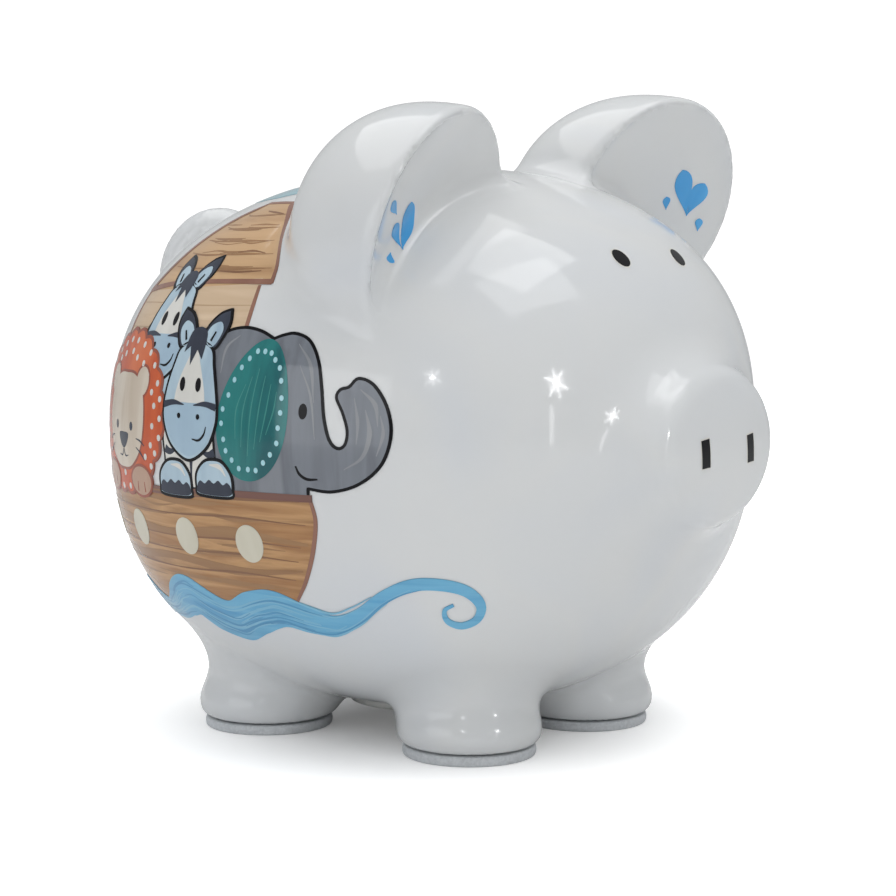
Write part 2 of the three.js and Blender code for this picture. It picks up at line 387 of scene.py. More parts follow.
def fill(outline):
    """Triangles inside a closed outline."""
    low, high = outline.min(0), outline.max(0)
    step = np.clip((high - low).min() / 4, 0.7, 2.6)
    grid = np.stack(np.meshgrid(*(np.arange(low[i] + step / 2, high[i], step) for i in range(2))), -1)
    grid = grid.reshape(-1, 2)
    after = np.roll(outline, -1, 0)
    x, y = grid[:, :1], grid[:, 1:]
    rise = after[:, 1] - outline[:, 1]
    rise = np.where(np.abs(rise) < 1e-9, 1e-9, rise)
    crossing = outline[:, 0] + (y - outline[:, 1]) * (after[:, 0] - outline[:, 0]) / rise
    spans = (outline[:, 1] > y) != (after[:, 1] > y)
    inside = (spans & (x < crossing)).sum(1) % 2 == 1
    far = np.hypot(x - outline[:, 0], y - outline[:, 1]).min(1) > 0.5 * step if len(grid) else inside
    points = [Vector(p) for p in np.vstack([outline, grid[inside & far]]).tolist()]
    count = len(outline)
    edges = [(i, (i + 1) % count) for i in range(count)]
    corners, _, triangles, *_ = delaunay_2d_cdt(points, edges, [list(range(count))], 1, 1e-4)
    return np.array([tuple(c) for c in corners]), np.array(triangles)


def paint(name, outlines, material, coat, place=on_flank):
    """Paint inside the outlines, as thin closed shells that follow the form."""
    points, faces, normals, first = [], [], [], 0
    for outline in outlines:
        flat, triangles = fill(outline)
        spots, outward = place(flat)
        a, b, c = (spots[triangles[:, i]] for i in range(3))
        if (np.cross(b - a, c - a) * outward[triangles[:, 0]]).sum() < 0:
            triangles = triangles[:, ::-1]
        count = len(flat)
        sides = {(int(t[i]), int(t[(i + 1) % 3])) for t in triangles for i in range(3)}
        walls = [(j, i, i + count, j + count) for i, j in sides if (j, i) not in sides]
        for face in [*triangles.tolist(), *(triangles[:, ::-1] + count).tolist(), *sorted(walls)]:
            faces.append([first + corner for corner in face])
        points += [spots + outward * (FIRST + LIFT * coat), spots - outward * SUNK]
        normals += [outward, outward]
        first += 2 * count
    piece = make_piece(name, np.vstack(points), faces, material, normals=np.vstack(normals))
    return piece


def inked(name, outline, material, coat, line=0.45):
    """A painted shape with a dark line round it."""
    paint(name + "_line", [grown(outline, line)], INK, coat)
    paint(name, [grown(outline, -line)], material, coat + 1)


# ----- materials -----
def linear(red, green, blue):
    """A colour from 0-255 screen values."""
    return tuple(v / 255 / 12.92 if v < 10.3 else ((v / 255 + 0.055) / 1.055) ** 2.4
                 for v in (red, green, blue))


def shader(name, base, roughness, **sockets):
    """A plain material. Other sockets are named with underscores for spaces."""
    material = bpy.data.materials.new(name)
    material.use_nodes = True
    principled = material.node_tree.nodes["Principled BSDF"]
    principled.inputs["Base Color"].default_value = (*base, 1)
    principled.inputs["Roughness"].default_value = roughness
    for socket, value in sockets.items():
        principled.inputs[socket.replace("_", " ")].default_value = value
    return material


def vary(material, colours, scale, stretch=(1, 1, 1), detail=4.0, warp=0.6, spread=(0.3, 0.7)):
    """Colour from stretched noise: each of the colours takes an even share of its range."""
    tree = material.node_tree
    place = tree.nodes.new("ShaderNodeTexCoord")
    mapping = tree.nodes.new("ShaderNodeMapping")
    mapping.inputs["Scale"].default_value = stretch
    noise = tree.nodes.new("ShaderNodeTexNoise")
    noise.inputs["Scale"].default_value = scale
    noise.inputs["Detail"].default_value = detail
    noise.inputs["Distortion"].default_value = warp
    ramp = tree.nodes.new("ShaderNodeValToRGB")
    stops = ramp.color_ramp.elements
    while len(stops) < len(colours):
        stops.new(0.5)
    for stop, colour, position in zip(stops, colours, np.linspace(*spread, len(colours))):
        stop.position = position
        stop.color = (*colour, 1)
    links = tree.links
    links.new(place.outputs["Object"], mapping.inputs["Vector"])
    links.new(mapping.outputs["Vector"], noise.inputs["Vector"])
    links.new(noise.outputs["Fac"], ramp.inputs["Fac"])
    links.new(ramp.outputs["Color"], tree.nodes["Principled BSDF"].inputs["Base Color"])


def roughen(material, scale, distance, detail=3.0):
    """Fine bumps from noise, this many metres high."""
    tree = material.node_tree
    place = tree.nodes.new("ShaderNodeTexCoord")
    noise = tree.nodes.new("ShaderNodeTexNoise")
    noise.inputs["Scale"].default_value = scale
    noise.inputs["Detail"].default_value = detail
    bump = tree.nodes.new("ShaderNodeBump")
    bump.inputs["Distance"].default_value = distance
    tree.links.new(place.outputs["Object"], noise.inputs["Vector"])
    tree.links.new(noise.outputs["Fac"], bump.inputs["Height"])
    tree.links.new(bump.outputs["Normal"], tree.nodes["Principled BSDF"].inputs["Normal"])


GLOSS = 0.07
LEVEL = (60, 60, 900)  # strokes that run level round the flank
UPRIGHT = (420, 420, 50)  # strokes that run up and down


def brushed(name, colours, stretch, scale=0.22, warp=0.5, **sockets):
    """Glazed-over paint with the streaks of a brush."""
    material = shader(name, linear(*colours[0]), GLOSS, **sockets)
    vary(material, [linear(*c) for c in colours], scale, stretch, 5.0, warp)
    return material


def white_glaze():
    material = shader("white_glaze", linear(222, 223, 224), GLOSS)
    vary(material, [linear(215, 218, 222), linear(221, 222, 222), linear(218, 220, 222)], 14.0, detail=2.0)
    return material


def pad_foam():
    material = shader("pad_foam", linear(160, 163, 168), 0.9)
    vary(material, [linear(196, 199, 202), linear(214, 217, 220)], 900.0, detail=3.0)
    roughen(material, 1400.0, 0.0002)
    return material


def plug_rubber():
    material = shader("plug_rubber", linear(196, 196, 192), 0.55)
    vary(material, [linear(186, 186, 182), linear(204, 204, 200)], 120.0)
    roughen(material, 500.0, 0.00008)
    return material


INK = brushed("ink", [(8, 8, 12), (20, 20, 24)], UPRIGHT, Specular_IOR_Level=0.2)
DARK = brushed("dark_grey_paint", [(44, 48, 60), (62, 68, 82)], UPRIGHT, Specular_IOR_Level=0.3)
ROOF = brushed("roof_paint", [(194, 156, 114), (206, 168, 126), (198, 160, 118), (184, 144, 104)], LEVEL)
CABIN = brushed("cabin_paint", [(216, 190, 160), (208, 181, 150), (224, 199, 170)], LEVEL)
HULL = brushed("hull_paint", [(184, 138, 90), (162, 116, 74), (194, 150, 102), (146, 104, 68)], LEVEL)
GRAIN = brushed("wood_grain", [(148, 108, 76), (128, 90, 64)], LEVEL)
SOFT_GRAIN = brushed("soft_wood_grain", [(166, 126, 86), (150, 111, 75)], LEVEL)
FAINT_GRAIN = brushed("faint_wood_grain", [(192, 162, 130), (182, 152, 120)], LEVEL)
RAIL = brushed("deck_rail_paint", [(132, 92, 80), (112, 76, 68)], LEVEL)
TRIM = brushed("trim_paint", [(156, 112, 94), (136, 94, 78)], UPRIGHT)
CREAM = brushed("cream_paint", [(203, 197, 177), (215, 210, 193)], UPRIGHT)
GREY = brushed("grey_paint", [(114, 119, 127), (124, 129, 137), (108, 112, 120), (131, 135, 142)], UPRIGHT)
PALE_GREY = brushed("pale_grey_paint", [(138, 141, 145), (149, 151, 154)], UPRIGHT)
TEAL = brushed("teal_paint", [(18, 102, 106), (36, 126, 124), (16, 90, 96)], UPRIGHT)
TEAL_LIGHT = brushed("teal_light_paint", [(70, 150, 142), (60, 140, 134)], UPRIGHT)
FROST = brushed("frost_paint", [(150, 204, 216), (176, 222, 230)], UPRIGHT)
SKY = brushed("sky_blue_paint", [(168, 191, 208), (182, 204, 217), (160, 184, 202)], UPRIGHT)
MUZZLE = brushed("muzzle_paint", [(160, 185, 205), (170, 195, 212)], UPRIGHT)
CHALK = brushed("chalk_paint", [(214, 212, 206), (226, 224, 218)], UPRIGHT)
RUST = brushed("rust_paint", [(208, 94, 44), (196, 80, 34), (216, 112, 64)], UPRIGHT)
RUST_EDGE = brushed("rust_edge_paint", [(160, 82, 60), (144, 72, 52)], UPRIGHT)
SAND = brushed("sand_paint", [(208, 193, 174), (216, 204, 188), (198, 182, 163)], UPRIGHT)
PAW = brushed("paw_paint", [(192, 158, 136), (178, 142, 120)], UPRIGHT)
WAVE = brushed("wave_paint", [(90, 162, 206), (114, 182, 216), (82, 152, 196)], LEVEL)
WAVE_LIGHT = brushed("wave_light_paint", [(134, 192, 219), (124, 184, 214)], LEVEL)
WAVE_DARK = brushed("wave_dark_paint", [(82, 148, 192), (90, 156, 198)], LEVEL)
AZURE = brushed("azure_paint", [(66, 158, 222), (88, 174, 232)], UPRIGHT)
MIST = brushed("mist_paint", [(150, 192, 204), (168, 204, 212)], LEVEL)

# ----- the ceramic, the pads and the stopper -----
skin = ceramic_skin(white_glaze())
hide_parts(*[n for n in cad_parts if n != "stopper" and not n.startswith("foot_pad")])


def foot_pads():
    material = pad_foam()
    radius, top = PAD["radius"], PAD["thickness"]
    profile = rounded([(0, 0), (radius - PAD["bottom_in"], 0), (radius, PAD["waist_z"]),
                       (radius - PAD["top_in"], top), (0, top)], PAD["edge"])
    for end, (x, y) in FEET.items():
        for side, hand in ((RIGHT, "right"), (LEFT, "left")):
            pad = turned(f"pad_{end}_{hand}", profile, (side * x, y), material)
            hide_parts(f"foot_pad_{end}_{hand}")


def rounded_box(name, low, high, radius, material, body, around=24, along=11):
    """A box with round edges: a ball pulled apart into its eight corners."""
    low, high = np.array(low), np.array(high)
    angle, tilt = np.meshgrid((np.arange(around) + 0.5) * 2 * np.pi / around,
                              np.linspace(-np.pi / 2, np.pi / 2, along + 2)[1:-1] + 1e-3)
    flat = np.cos(tilt)
    ball = np.stack([flat * np.cos(angle), flat * np.sin(angle), np.sin(tilt)], -1).reshape(-1, 3)
    middle = (low + high) / 2
    shell = middle + np.sign(ball) * ((high - low) / 2 - radius) + ball * radius
    points = [*shell, (middle[0], middle[1], low[2]), (middle[0], middle[1], high[2])]
    faces = []
    for i in range(around):
        j = (i + 1) % around
        for ring in range(along - 1):
            below, above = ring * around, (ring + 1) * around
            faces.append((below + i, below + j, above + j, above + i))
        faces.append((len(shell), j, i))
        top = (along - 1) * around
        faces.append((len(shell) + 1, top + i, top + j))
    return make_piece(name, points, faces, material, body)


def stopper():
    """A hollow rubber plug with two sealing ribs and a tab to pull it by."""
    material = plug_rubber()
    flange, neck, top = PLUG["flange"], PLUG["neck"], PLUG["top"]
    profile = [(0, PLUG["bottom"]), (flange - PLUG["chamfer"], PLUG["bottom"]),
               (flange, PLUG["bottom"] + PLUG["chamfer"]), (flange, top), (neck, top)]
    for level in PLUG["rib_levels"]:
        low, high = top + level, top + level + PLUG["rib_height"]
        profile += [(neck, low), (PLUG["rib"], (low + high) / 2), (neck, high)]
    crown, hollow = top + PLUG["height"], neck - PLUG["wall"]
    profile += [(neck, crown - PLUG["lead"]), (neck - PLUG["lead"], crown), (hollow, crown),
                (hollow, top + PLUG["wall"]), (0, top + PLUG["wall"])]
    plug = turned("plug", rounded(profile, PLUG["edge"]), (0, 0), material, "stopper")
    width, length = PLUG["tab"]
    low, high = PLUG["tab_z"]
    tab = rounded_box("plug_tab", (-width / 2, -length / 2, low), (width / 2, length / 2, high),
                      PLUG["tab_edge"], material, "stopper")
    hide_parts("stopper")


foot_pads()
stopper()

# ----- the painted ark -----
rng = np.random.default_rng(7)
ARK_MIDDLE = 31.0
ZEBRA_MIDDLE = 15.3


def streaks(name, material, coat, count, low, high, lines, length, width):
    """Short level strokes scattered between two ends on the given heights."""
    strokes = []
    for _ in range(count):
        reach = rng.uniform(*length)
        start = rng.uniform(low, high - reach)
        z = rng.choice(lines) + rng.normal(0, 0.5)
        bend = rng.normal(0, 0.3)
        path = [(start, z), (start + reach / 2, z + bend), (start + reach, z)]
        strokes.append(stroke(path, (0.15, rng.uniform(*width), 0.15)))
    paint(name, strokes, material, coat)


def ark_roof():
    right = [(15.5, 162.3), (8.6, 159.6), (2.0, 156.0), (-4.4, 150.6), (-8.0, 145.0), (-8.6, 139.4)]
    left = [(63.5, 136), (60.2, 140.8), (57.0, 145.8), (53.5, 151), (47, 157.6), (38, 162.3)]
    corners = [right[0], right[0], *right[1:], right[-1], left[0], left[0], *left[1:], left[-1]]
    paint("roof", [smooth_line(corners)], ROOF, 1)
    planks = [158.8, 155.0, 151.2, 147.4, 143.4]
    streaks("roof_pale_grain", SOFT_GRAIN, 2, 26, 3, 48, planks[1:], (10, 24), (0.2, 0.5))
    seams = []
    for z in planks:
        inset = (162.5 - z) * 1.1
        path = [(14 - inset, z), (34, z - 0.4), (36 + inset * 0.8, z)]
        seams.append(stroke(path, (0.15, 0.45, 0.3, 0.15)))
    paint("roof_seams", seams, SOFT_GRAIN, 3)
    dark_lines = [stroke([(2, 147.6), (9, 148.2), (17, 147.8)], (0.15, 0.5, 0.15)),
                  stroke([(26, 159.8), (19, 159.4), (12, 159)], (0.15, 0.4, 0.15)),
                  stroke([(-1, 142.6), (10, 142.2), (23, 142.4)], (0.15, 0.5, 0.15))]
    paint("roof_grain", dark_lines, GRAIN, 4)
    edges = [stroke(shifted(right, 0.5, -0.3), (1.1, 1.3, 1.5, 1.6)),
             stroke(shifted(left, -0.6, -0.3), (2.2, 2.4, 2.2, 1.2)),
             stroke([(-8.2, 139.6), (20, 139.4), (44, 138.4), (62.6, 136.4)], (1.5, 1.2, 1.3, 1.8)),
             stroke([(14.6, 162.2), (26, 162.3), (37.2, 162.2)], (0.6, 0.6, 0.6))]
    paint("roof_edges", edges, TRIM, 5)


def ark_cabin():
    corners = [(-3.4, 140.6), (-3.4, 126), (-2, 100), (62, 100), (63, 137)]
    paint("cabin", [smooth_line([corner for corner in corners for _ in range(2)])], CABIN, 0)
    seams = [stroke([(-3, z + 0.4), (20, z), (45, z + 0.3), (62, z)], (0.2, 0.4, 0.25, 0.3))
             for z in (132.6, 125.4, 117.6)]
    paint("cabin_seams", seams, FAINT_GRAIN, 1)
    posts = [stroke([(-3.3, 138.6), (-3.6, 133), (-3.3, 124)], (1.3, 1.6, 1.5)),
             stroke([(62.6, 136), (62.8, 128), (62.2, 105)], (1.6, 1.8, 1.6))]
    paint("cabin_posts", posts, TRIM, 2)


def ark_hull():
    right = [(-29.6, 80.6), (-31, 74), (-29.2, 65), (-25.4, 56.5), (-20.6, 50)]
    left = mirrored(right, ARK_MIDDLE)[::-1]
    corners = [right[0], *right, right[-1], (31, 42), (61, 39.5), left[0], *left, left[-1], (31, 78.4)]
    paint("hull", [smooth_line(corners)], HULL, 1)
    planks = [76.2, 72.6, 64.6, 62.2, 53.6]
    streaks("hull_pale_grain", SOFT_GRAIN, 2, 44, -21, 82, planks, (12, 34), (0.4, 1.3))
    upper = [(-27.5, 67.2), (0, 68.8), (30, 66.6), (60, 68.4), (88, 67.6)]
    lower = [(-24.5, 59.2), (0, 57.4), (30, 59.2), (60, 57.6), (84, 58.6)]
    bands = [stroke(upper, (0.8, 3.4, 2.4, 3.0, 0.6)), stroke(lower, (0.6, 2.8, 2.2, 2.6, 0.5))]
    paint("hull_bands", bands, SOFT_GRAIN, 3)
    seams = []
    for z in (72.8, 66.2, 62.0, 56.4):
        path = [(-28 + 0.35 * (75 - z), z), (0, z + 0.6), (30, z - 0.5), (88 - 0.3 * (75 - z), z)]
        seams.append(stroke(path, (0.2, 0.7, 0.3, 0.6, 0.2)))
    paint("hull_seams", seams, GRAIN, 4)
    edges = [stroke(shifted(right, 0.5, 0), (1.0, 1.2, 1.3, 1.2, 0.8)),
             stroke(shifted(left, -0.5, 0), (0.8, 1.2, 1.3, 1.2, 1.0))]
    paint("hull_edges", edges, TRIM, 5)
    windows = [oval(-6.2 + 27 * i, 66.0, 5.3 - 0.25 * i, 5.5, 12) for i in range(4)]
    paint("portholes", windows, CREAM, 6)
    rail = [(-29.8, 80.5), (0, 79.9), (31, 78.8), (62, 79.9), (91.6, 80.5)]
    paint("deck_rail", [stroke(rail, (2.0, 2.4, 2.2, 2.4, 2.0))], RAIL, 12)
    under = shifted(rail[:2], 4, -1.1) + shifted(rail[3:], -4, -1.1)
    paint("deck_shadow", [stroke(under, (0.2, 1.0, 0.5, 1.0, 0.2))], GRAIN, 13)


def elephant():
    trunk = [(-28.7, 83.3), (-36, 82.8), (-43.6, 85.2), (-49.6, 90.6), (-52.2, 98.6), (-51.2, 106.2),
             (-47.6, 112.2), (-43.4, 113.9), (-40.8, 111.6), (-38.4, 110.8), (-37.3, 108.6), (-39.2, 104.4),
             (-40.5, 99.6), (-39.8, 95.8), (-37.6, 94.8), (-35.3, 97.0), (-33.7, 103), (-32.8, 111),
             (-31.2, 118.6), (-27.8, 123.8), (-22.8, 125.6), (-18.4, 125.0)]
    corners = [(-28.7, 80), (-28.7, 80), trunk[0], *trunk, (-15.4, 124), (-15.4, 124), (-10, 126),
               (-3, 126.8), (4, 125.4), (10, 121), (12, 108), (12, 79.8), (12, 79.8)]
    inked("elephant", smooth_line(corners), GREY, 5)
    sheen = [stroke([(-49.5, 104), (-50.2, 99), (-48.4, 93)], (0.2, 1.0, 0.2)),
             stroke([(-44, 111), (-48, 107), (-48.8, 101)], (0.2, 1.3, 0.2)),
             stroke([(-45.5, 105.5), (-46.6, 99), (-44.6, 92.6), (-39.5, 89)], (0.2, 1.4, 1.0, 0.2)),
             stroke([(-42.4, 108.6), (-43.4, 102), (-43, 96)], (0.2, 1.0, 0.2)),
             stroke([(-24.5, 122.8), (-29, 117), (-30.6, 107)], (0.2, 1.2, 0.2)),
             stroke([(-25.6, 117), (-29.6, 108.5), (-31, 97)], (0.2, 0.8, 0.2)),
             stroke([(-2, 124.6), (2.6, 121), (3.4, 114)], (0.2, 1.0, 0.2))]
    paint("elephant_sheen", sheen, PALE_GREY, 7)
    ear = dict(u=-8.3, z=104.0, half_width=12.8, half_height=19.9, narrow=0.15, lean=-5.6)
    paint("elephant_ear", [egg(**ear)], TEAL, 8)
    veins = []
    for s in (-6.5, -4.4, -2.2, 0.2, 2.6, 4.8):
        path = [(-12 + s, 116 - abs(s)), (-9.8 + 1.2 * s, 104), (-8.6 + s, 91 + abs(s))]
        veins.append(stroke(path, (0.2, 0.45, 0.2)))
    paint("elephant_ear_veins", veins, TEAL_LIGHT, 9)
    ring = egg(**ear, size=0.84, count=24)
    ring += rng.normal(0, 0.25, ring.shape)
    paint("elephant_ear_dots", [oval(u, z, 0.72, 0.8) for u, z in ring], FROST, 10)
    paint("elephant_eye", [oval(-27.3, 104.5, 1.35, 2.2, 4)], INK, 7)
    smile = stroke([(-25, 89.4), (-26.2, 87.2), (-28.6, 85.9), (-31.8, 86)], (0.5, 0.8, 0.8, 0.5))
    brow = stroke([(-15.5, 124.4), (-14.9, 122.6), (-15.3, 120.8)], (0.9, 0.6, 0.2))
    paint("elephant_lines", [smile, brow], INK, 7)


def zebra_head(name, move, coat):
    """A zebra's face, turned to the viewer. It is drawn as the near zebra's, and `move` places it."""
    middle = ZEBRA_MIDDLE

    def both(points):
        """The same line on each half of the face."""
        return [move(points), move(mirrored(points, middle))]

    def whole(points):
        """A closed shape from its front half, whose two ends lie on the middle line."""
        return smooth_line(move(points + mirrored(points[1:-1], middle)[::-1]))

    ear = [(8.0, 120.4), (5.0, 123.4), (3.3, 127.6), (4.3, 131.6), (4.3, 131.6), (8.6, 130.3),
           (12.0, 127.3), (13.2, 123.8)]
    inner = [(8.4, 121.0), (6.3, 123.3), (5.5, 126.0), (7.2, 128.0), (10.8, 126.8), (12.4, 123.8),
             (10.6, 121.4)]
    for hand, outer, cup in zip(("front", "rear"), both(ear), both(inner)):
        inked(f"{name}_{hand}_ear", smooth_line(outer), DARK, coat, 0.4)
        paint(f"{name}_{hand}_ear_cup", [smooth_line(cup)], SKY, coat + 2)
    face = [(middle, 122.5), (8.4, 120.6), (6.2, 115.5), (4.3, 109), (3.4, 103.5), (4.0, 98.6),
            (7.6, 92.4), (middle, 88.6)]
    inked(f"{name}_face", whole(face), SKY, coat + 2)
    blaze = [(middle, 121), (11.8, 115.5), (9.2, 109), (8.4, 104.2), (8.4, 104.2), (middle, 104.2)]
    paint(f"{name}_blaze", [whole(blaze)], CHALK, coat + 4)
    muzzle = [(middle, 105), (8, 104.9), (4.5, 103.6), (4.9, 98.8), (8.4, 93.4), (middle, 89.8)]
    paint(f"{name}_muzzle", [whole(muzzle)], MUZZLE, coat + 5)
    tuft = [(middle, 126.4), (12.0, 125), (11.4, 121.4), (12.0, 117.4), (12.0, 117.4), (14.5, 120),
            (14.5, 120), (16.7, 115.6), (16.7, 115.6), (17.9, 121), (17.9, 121), (20.4, 119.2),
            (20.4, 119.2), (18.8, 125)]
    cheeks = both([(3.8, 104.1), (8.4, 104.9), (13.2, 104.4)])
    stripes = [stroke(line, (2.0, 1.5, 0.3)) for line in cheeks]
    paint(f"{name}_mane", [smooth_line(move(tuft)), *stripes], DARK, coat + 6)
    eyes = [oval(*move([(middle + side * 3.5, 110.2)])[0], 1.15, 2.0) for side in (-1, 1)]
    nostrils = [oval(*move([(middle + side * 4.2, 101.2)])[0], 0.75, 0.8) for side in (-1, 1)]
    smile = stroke(move([(13.5, 94.8), (10.6, 94.6), (8.4, 96.4), (7.6, 98.6)]), (0.3, 0.7, 0.7, 0.3))
    folds = [stroke(line, (0.7, 0.5)) for line in both([(9.6, 122.6), (8.2, 125.2)])]
    paint(f"{name}_features", [*eyes, *nostrils, smile, *folds], INK, coat + 7)


def far_zebra():
    neck = [(23.5, 128), (23.5, 128), (24, 118), (26, 104), (26, 104), (46, 104), (46, 104),
            (45.5, 118), (44.6, 127)]
    inked("far_zebra_neck", smooth_line(neck), SKY, 5)

    def behind(points):
        """Further back and higher up, and a little shorter."""
        return [(u + 18.6, 128.4 + (z - 110.2) * 0.85) for u, z in points]

    zebra_head("far_zebra", behind, 6)


def near_zebra():
    chest = [(5.2, 98), (5.2, 98), (4.4, 88), (4.8, 80.5), (4.8, 80.5), (26, 80.5), (26, 80.5),
             (26.6, 88), (25.6, 98)]
    inked("near_zebra_chest", smooth_line(chest), CHALK, 9)
    bands = [stroke([(4.6, 91.4), (7, 90.6), (10.4, 91.6)], (2.4, 1.8, 0.3)),
             stroke([(26.4, 91.4), (24, 90.6), (20.6, 91.6)], (2.4, 1.8, 0.3)),
             stroke([(14.4, 88.6), (14.5, 84), (14.4, 80.6)], (1.4, 0.6, 0.9))]
    paint("near_zebra_bands", bands, DARK, 11)
    zebra_head("near_zebra", lambda points: points, 16)
    hoof = [(-7.5, 80.4), (-7.0, 84.4), (-3.8, 87.8), (0, 88.5), (3.8, 87.7), (7.0, 84.4),
            (7.4, 80.4), (6.2, 78), (-6.4, 77.9)]
    sole = [(-6.9, 80.8), (-5.4, 82.2), (-3.7, 81.4), (-1.9, 82.6), (0, 81.6), (1.9, 82.6),
            (3.7, 81.4), (5.5, 82.2), (6.8, 80.8), (6.0, 78.5), (-6.0, 78.4)]
    for name, du, dz in (("rear", 22.1, 0.0), ("front", 5.0, 1.0)):
        inked(f"hoof_{name}", smooth_line(shifted(hoof, du, dz)), SKY, 16)
        paint(f"hoof_{name}_sole", [smooth_line(shifted(sole, du, dz))], DARK, 18)
        shine = stroke(shifted([(-5.0, 84.0), (-2.6, 86.5), (1.5, 86.9)], du, dz), (0.3, 1.5, 0.3))
        paint(f"hoof_{name}_shine", [shine], CHALK, 18)


def scalloped(u, z, radius_u, radius_z, lobes, depth, count=240):
    """An oval with a wavy edge."""
    t = np.arange(count) * 2 * np.pi / count
    swell = 1 - depth + depth * np.abs(np.sin(lobes * t / 2))
    return np.stack([u + radius_u * swell * np.cos(t), z + radius_z * swell * np.sin(t)], 1)


def lion():
    u, z = 52.2, 100.5
    mane = scalloped(u, z, 25.4, 24.6, 20, 0.06)
    paint("mane_edge", [grown(mane, 0.5)], RUST_EDGE, 14)
    paint("mane", [grown(mane, -0.5)], RUST, 15)
    face = [(u + 14.2, z - 1), (u + 12, z + 8), (u + 6, z + 11.4), (u, z + 11.8), (u - 6, z + 11.4),
            (u - 12, z + 8), (u - 14.2, z - 1), (u - 12, z - 10.5), (u - 6, z - 16), (u, z - 17),
            (u + 6, z - 16), (u + 12, z - 10.5)]
    ears = [oval(u + side * 11.6, z + 9.4, 4.2, 4.6) for side in (-1, 1)]
    paint("lion_face_edge", [grown(o, 0.45) for o in (*ears, smooth_line(face))], RUST_EDGE, 16)
    paint("lion_face", [grown(o, -0.35) for o in (*ears, smooth_line(face))], SAND, 17)
    spots = []
    for ring, count in ((0.93, 26), (0.78, 22)):
        for k in range(count):
            t = 2 * math.pi * (k + 0.5 * (ring < 0.9)) / count
            spot_u, spot_z = u + 25 * ring * math.cos(t), z - 0.5 + 23.6 * ring * math.sin(t)
            spots.append(oval(spot_u + rng.normal(0, 0.4), spot_z + rng.normal(0, 0.4), 0.85, 0.95))
    paint("mane_spots", spots, CHALK, 16)
    nose = [(u - 3.6, z - 6.6), (u, z - 6.2), (u + 3.6, z - 6.6), (u + 2.4, z - 9.6), (u, z - 11),
            (u - 2.4, z - 9.6)]
    eyes = [oval(u + side * 5.8, z - 4.2, 1.1, 1.35) for side in (-1, 1)]
    whiskers = []
    for side in (-1, 1):
        for lift, drop in ((-7.6, -9.4), (-10.2, -13.6)):
            start, end = (u + side * 9.2, z + lift), (u + side * 14.4, z + drop)
            middle = ((start[0] + end[0]) / 2, (start[1] + end[1]) / 2 + 0.4)
            whiskers.append(stroke([start, middle, end], (0.3, 0.6, 0.2)))
    mouth = [stroke([(u, z - 11), (u + side * 1.2, z - 13.2), (u + side * 3.6, z - 13)], (0.4, 0.6, 0.2))
             for side in (-1, 1)]
    paint("lion_features", [smooth_line(nose), *eyes, *whiskers, *mouth], DARK, 18)
    for side, name in ((-1, "front"), (1, "rear")):
        paw_u = u + side * 11.5
        paw = oval(paw_u, 80.6, 6.4, 4.6)
        paint(f"paw_{name}_edge", [grown(paw, 0.4)], RUST_EDGE, 18)
        paint(f"paw_{name}", [grown(paw, -0.4)], PAW, 19)
        toes = [stroke([(paw_u + k, 80.4), (paw_u + k * 1.1, 77.4)], (0.3, 0.6)) for k in (-2, 2)]
        paint(f"paw_{name}_toes", toes, RUST_EDGE, 20)


def sea():
    """A band of water under the hull, with a curl at each end."""
    front = [(31, 46.8), (22, 43), (11, 41), (0, 44.6), (-11, 46.8), (-22, 44.6), (-32, 43.4),
             (-41, 47.2), (-49, 53.2), (-57, 57.0), (-65, 57.3), (-72, 55.4), (-76.2, 51.2),
             (-75.6, 46.9), (-71.4, 44.9), (-67.2, 46.4), (-66.2, 49.6), (-68.6, 51.3)]
    widths = [13.2, 14.2, 12.8, 12.4, 13.0, 12.0, 10.0, 8.6, 6.2, 4.5, 3.8, 3.7, 3.6, 3.4, 3.0, 2.5,
              1.8, 0.9]
    curl = shifted(mirrored(front[5:], ARK_MIDDLE), 0, -2)
    rear = [(39, 45.0), (46, 42.0), (54, 40.4), (68, 42.2)] + curl
    rear_widths = [11.5, 8.4, 6.0, 7.4] + widths[5:]
    crest, breadths = rear[::-1] + front, rear_widths[::-1] + widths
    paint("sea", [stroke(crest, breadths)], WAVE, 8)
    knots = range(len(crest))
    for name, material, coat, count in (("light", WAVE_LIGHT, 9, 40), ("dark", WAVE_DARK, 10, 22)):
        ripples = []
        for _ in range(count):
            first = rng.uniform(0.25, 0.68)
            where = np.linspace(first, first + rng.uniform(0.05, 0.12), 6) * (len(crest) - 1)
            u, z = (np.interp(where, knots, [point[axis] for point in crest]) for axis in range(2))
            z = z + rng.uniform(-0.38, 0.38) * np.interp(where, knots, breadths)
            ripples.append(stroke(list(zip(u, z)), (0.15, rng.uniform(0.4, 0.8), 0.15)))
        paint(f"sea_{name}", ripples, material, coat)


ark_roof()
ark_cabin()
ark_hull()
far_zebra()
elephant()
lion()
near_zebra()
sea()


# ----- the face, the ears and the back -----
def face_marks():
    eyes = [oval(side * 15.0, 146.2, 3.0, 2.4) for side in (-1, 1)]
    paint("eye_rims", [grown(eye, 0.3) for eye in eyes], CHALK, 1, on_front)
    paint("eyes", eyes, INK, 2, on_front)
    holes = []
    for side in (-1, 1):
        middle = side * 12.2
        slit = [(middle - 0.3, 95.7), (middle + 0.2, 91.6), (middle + 0.5, 87.6)]
        holes.append(stroke(slit, (3.9, 4.0, 3.9), 0.5))
    paint("nostril_rims", [grown(hole, 0.35) for hole in holes], CHALK, 1, on_front)
    paint("nostrils", holes, INK, 2, on_front)


